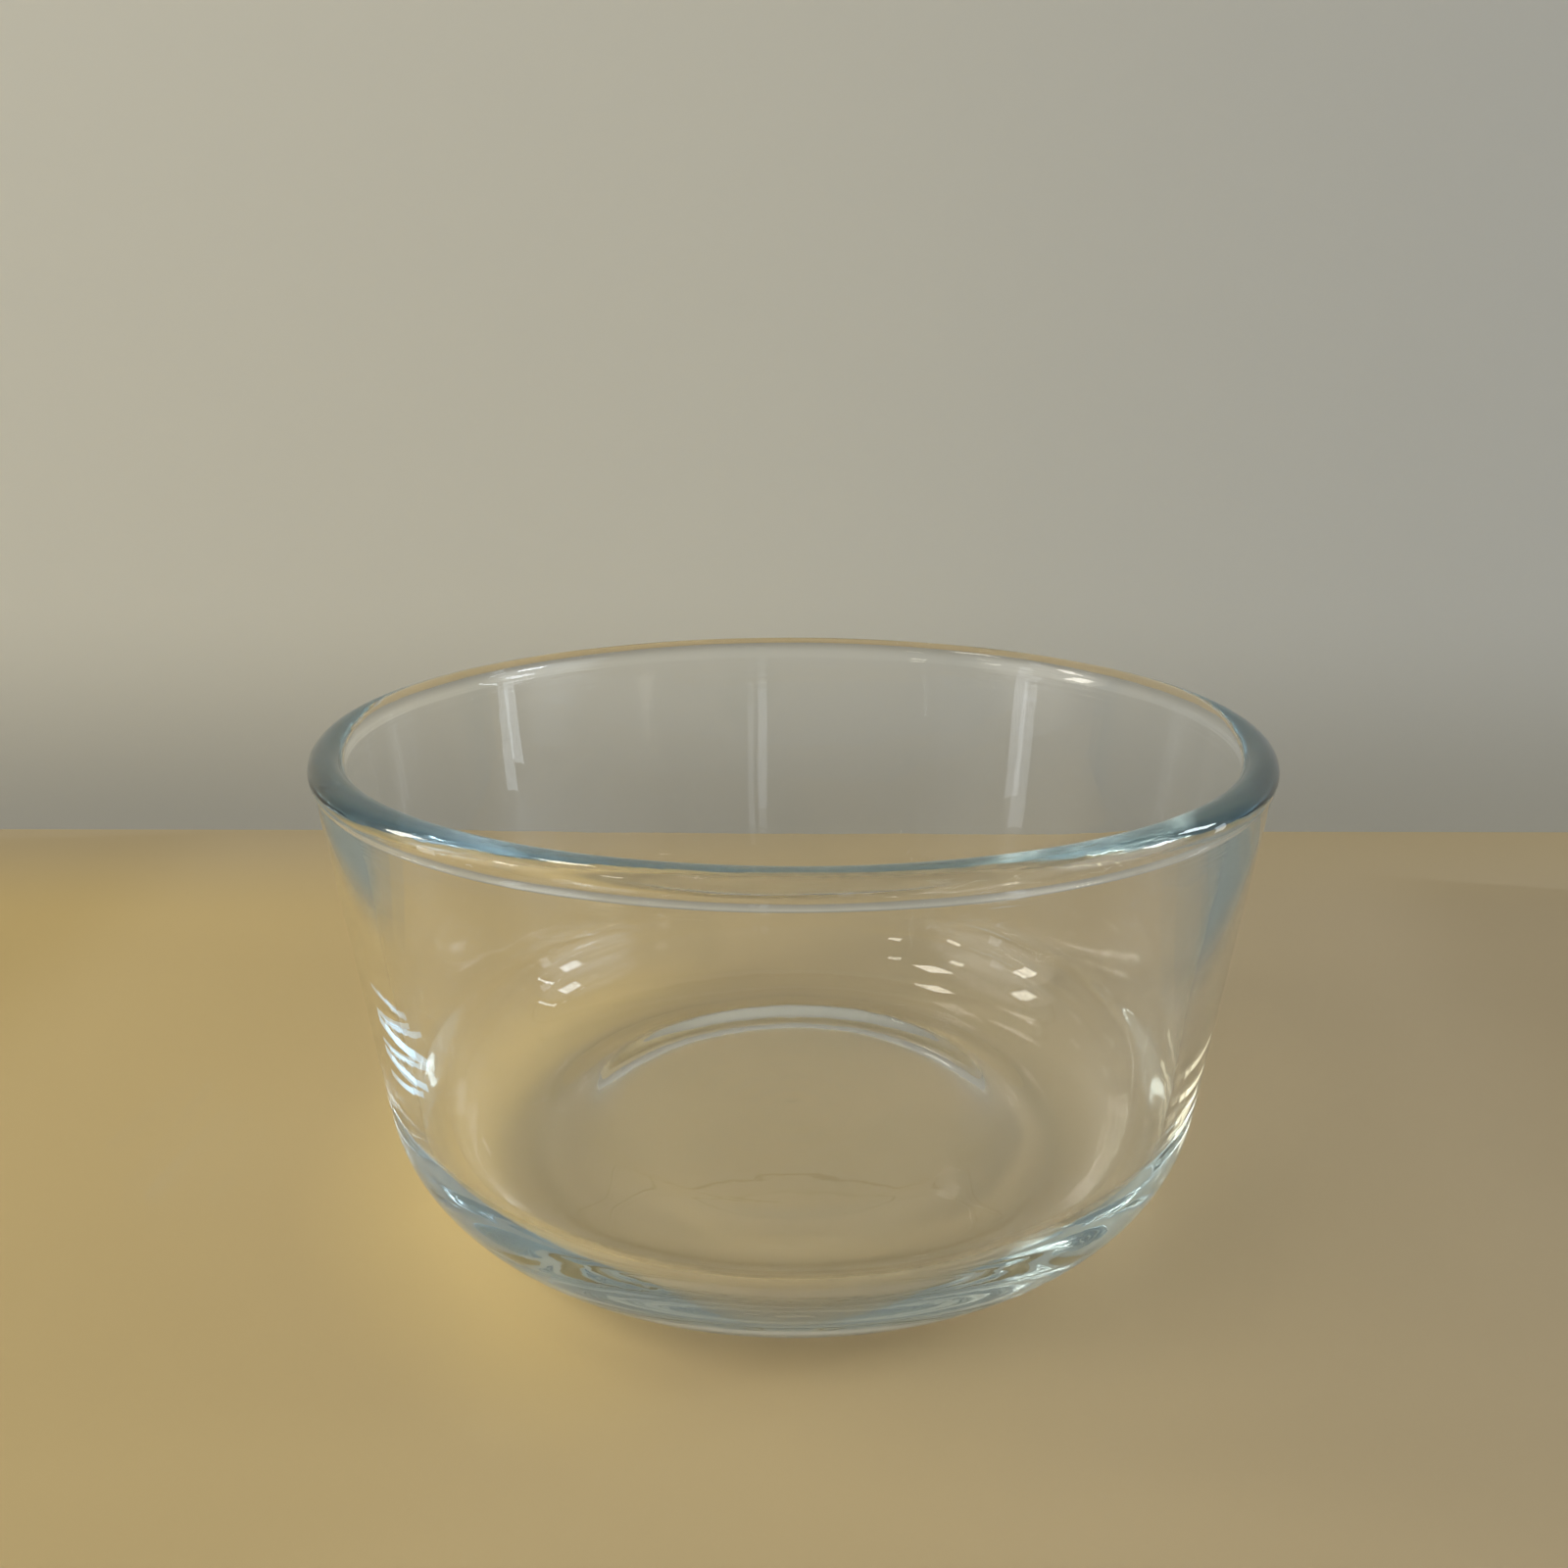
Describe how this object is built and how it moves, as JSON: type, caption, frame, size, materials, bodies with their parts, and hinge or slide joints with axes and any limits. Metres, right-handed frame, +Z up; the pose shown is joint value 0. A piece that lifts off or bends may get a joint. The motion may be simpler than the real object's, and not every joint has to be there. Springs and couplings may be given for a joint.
{
  "type": "bowl",
  "caption": "Round clear-glass dish, pressed in one piece, with a leaning wall, a curved corner, a thick recessed base and a rounded rim bead",
  "frame": {"origin": "on the table plane, in the middle of the foot ring", "axes": "+Z up along the axis of the dish; +X to the right and -Y towards the viewer in the picture"},
  "size_m": [0.155, 0.155, 0.079],
  "materials": {
    "clear_glass": "clear soda-lime glass, fire-polished, with a faint blue-green tint that shows in the rim and the corner"
  },
  "bodies": {
    "root": {"glass_dish": "clear_glass"}
  },
  "joints": []
}
